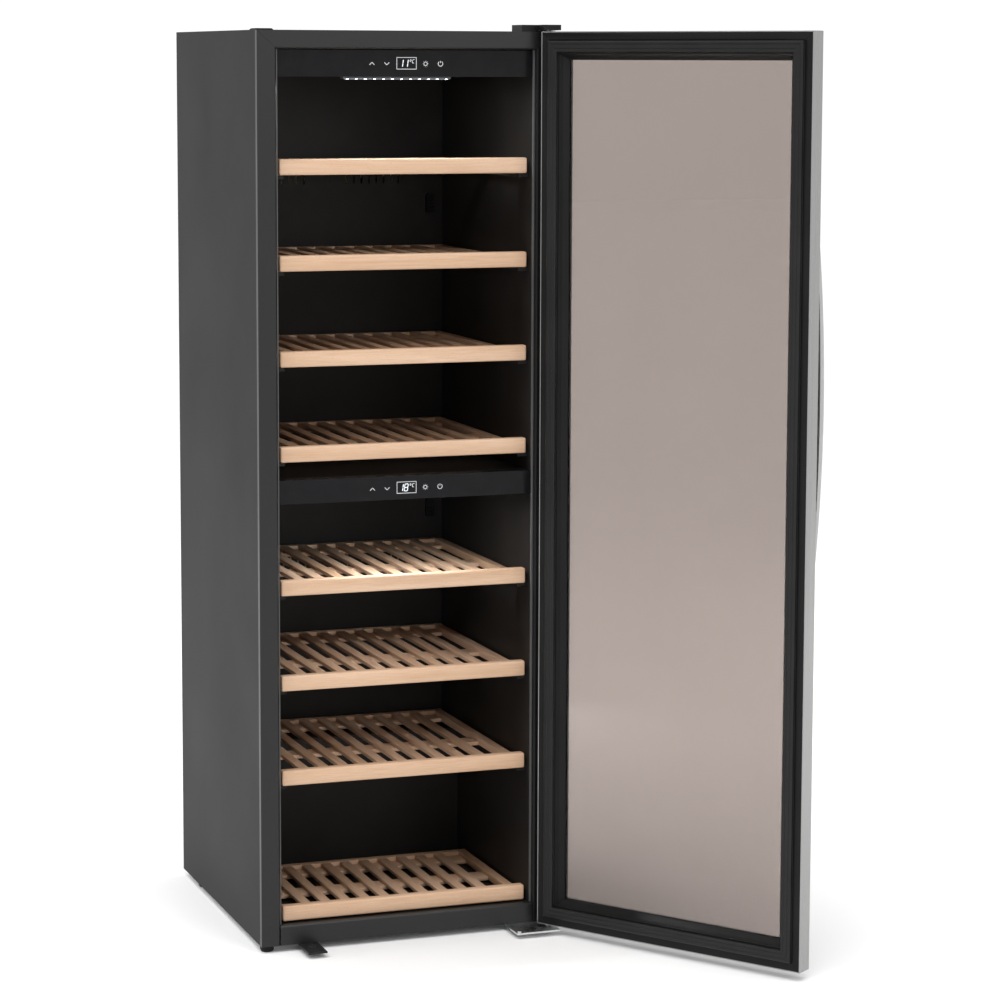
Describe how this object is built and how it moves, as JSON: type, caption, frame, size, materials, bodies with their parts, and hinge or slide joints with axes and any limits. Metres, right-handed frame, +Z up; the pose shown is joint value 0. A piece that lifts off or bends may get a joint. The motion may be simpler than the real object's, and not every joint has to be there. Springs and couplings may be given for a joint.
{
  "type": "wine cooler",
  "caption": "Tall freestanding wine cooler with a glazed, steel-edged door, slatted wooden shelves that pull out and two zones with their own control panels.",
  "frame": {"origin": "on the floor, under the centre of the cabinet's footprint", "axes": "+Z up, the front faces -Y, +X to the right seen from the front (the hinge side)"},
  "size_m": [0.958, 1.1339, 1.7827],
  "materials": {
    "side_panel": "satin",
    "frame": "satin",
    "back_sheet": "matte",
    "galvanised": "satin",
    "liner": "satin",
    "foam": "matte",
    "gloss_black": "gloss",
    "black_plastic": "satin",
    "display": "gloss",
    "board": "satin",
    "led": "gloss",
    "aluminium": "satin",
    "black_steel": "satin",
    "rubber": "matte",
    "tray_plastic": "matte",
    "copper": "satin",
    "zinc_steel": "satin",
    "stainless": "satin",
    "handle_steel": "satin",
    "door_profile": "satin",
    "seal": "matte",
    "glass": "polished",
    "acetal": "satin",
    "beech": "matte"
  },
  "bodies": {
    "cabinet": {"side_panel_left": "side_panel", "side_panel_right": "side_panel", "top_panel": "side_panel", "back_panel": "back_sheet", "base_pan": "galvanised", "compressor_plate": "galvanised", "frame_post_left": "frame", "frame_post_right": "frame", "frame_rail_top": "frame", "frame_rail_bottom": "frame", "liner_left": "liner", "liner_right": "liner", "liner_ceiling": "liner", "liner_floor": "liner", "liner_rear": "liner", "liner_step": "liner", "foam_insulation": "foam", "zone_divider": "liner", "shelf_runners": "liner", "control_panel_upper": "gloss_black", "control_panel_lower": "gloss_black", "displays": "display", "control_boards": "board", "led_strips": "led", "temperature_probes": "black_plastic", "evaporators": "aluminium", "fan_frames": "black_plastic", "compressor": "black_steel", "compressor_grommets": "rubber", "drip_tray": "tray_plastic", "condenser": "black_steel", "refrigerant_pipes": "copper", "machine_cover": "back_sheet", "cable_gland": "black_plastic", "feet_rear": "black_plastic", "hinge_bracket_top": "zinc_steel", "hinge_cover_top": "black_plastic", "hinge_hole_cap": "black_plastic", "hinge_bracket_bottom": "zinc_steel", "door_rest_bracket": "black_steel", "hinge_screws": "zinc_steel"},
    "door": {"door_frame": "stainless", "door_liner_frame": "door_profile", "door_seal": "seal", "door_glass": "glass", "glass_spacer": "black_plastic", "door_handle": "handle_steel", "hinge_bushes": "acetal"},
    "shelf_1": {"shelf_1": "beech"},
    "shelf_2": {"shelf_2": "beech"},
    "shelf_3": {"shelf_3": "beech"},
    "shelf_4": {"shelf_4": "beech"},
    "shelf_5": {"shelf_5": "beech"},
    "shelf_6": {"shelf_6": "beech"},
    "shelf_7": {"shelf_7": "beech"},
    "shelf_8": {"shelf_8": "beech"},
    "fan_rotor_upper": {"fan_rotor_upper": "black_plastic"},
    "fan_rotor_lower": {"fan_rotor_lower": "black_plastic"},
    "foot_front_left": {"foot_front_left": "black_plastic"},
    "foot_front_right": {"foot_front_right": "black_plastic"}
  },
  "joints": [
    {"name": "door_hinge", "type": "hinge", "parent": "cabinet", "child": "door", "pos_m": [0.2825, -0.3397, 0.018], "axis": [0, 0, 1], "range_deg": [-125.6, 9.4]},
    {"name": "shelf_1_slide", "type": "slide", "parent": "cabinet", "child": "shelf_1", "axis": [0, -1, 0], "range_m": [0, 0.2]},
    {"name": "shelf_2_slide", "type": "slide", "parent": "cabinet", "child": "shelf_2", "axis": [0, -1, 0], "range_m": [0, 0.2]},
    {"name": "shelf_3_slide", "type": "slide", "parent": "cabinet", "child": "shelf_3", "axis": [0, -1, 0], "range_m": [0, 0.2]},
    {"name": "shelf_4_slide", "type": "slide", "parent": "cabinet", "child": "shelf_4", "axis": [0, -1, 0], "range_m": [0, 0.2]},
    {"name": "shelf_5_slide", "type": "slide", "parent": "cabinet", "child": "shelf_5", "axis": [0, -1, 0], "range_m": [0, 0.2]},
    {"name": "shelf_6_slide", "type": "slide", "parent": "cabinet", "child": "shelf_6", "axis": [0, -1, 0], "range_m": [0, 0.2]},
    {"name": "shelf_7_slide", "type": "slide", "parent": "cabinet", "child": "shelf_7", "axis": [0, -1, 0], "range_m": [0, 0.2]},
    {"name": "shelf_8_slide", "type": "slide", "parent": "cabinet", "child": "shelf_8", "axis": [0, -1, 0], "range_m": [0, 0.2]},
    {"name": "fan_upper_spin", "type": "hinge", "parent": "cabinet", "child": "fan_rotor_upper", "pos_m": [0.102, 0.255, 1.4795], "axis": [0, 1, 0], "continuous": true},
    {"name": "fan_lower_spin", "type": "hinge", "parent": "cabinet", "child": "fan_rotor_lower", "pos_m": [0.102, 0.255, 0.6705], "axis": [0, 1, 0], "continuous": true},
    {"name": "foot_left_turn", "type": "hinge", "parent": "cabinet", "child": "foot_front_left", "pos_m": [-0.2815, -0.291, 0], "axis": [0, 0, 1], "continuous": true},
    {"name": "foot_right_turn", "type": "hinge", "parent": "cabinet", "child": "foot_front_right", "pos_m": [0.2815, -0.291, 0], "axis": [0, 0, 1], "continuous": true}
  ]
}
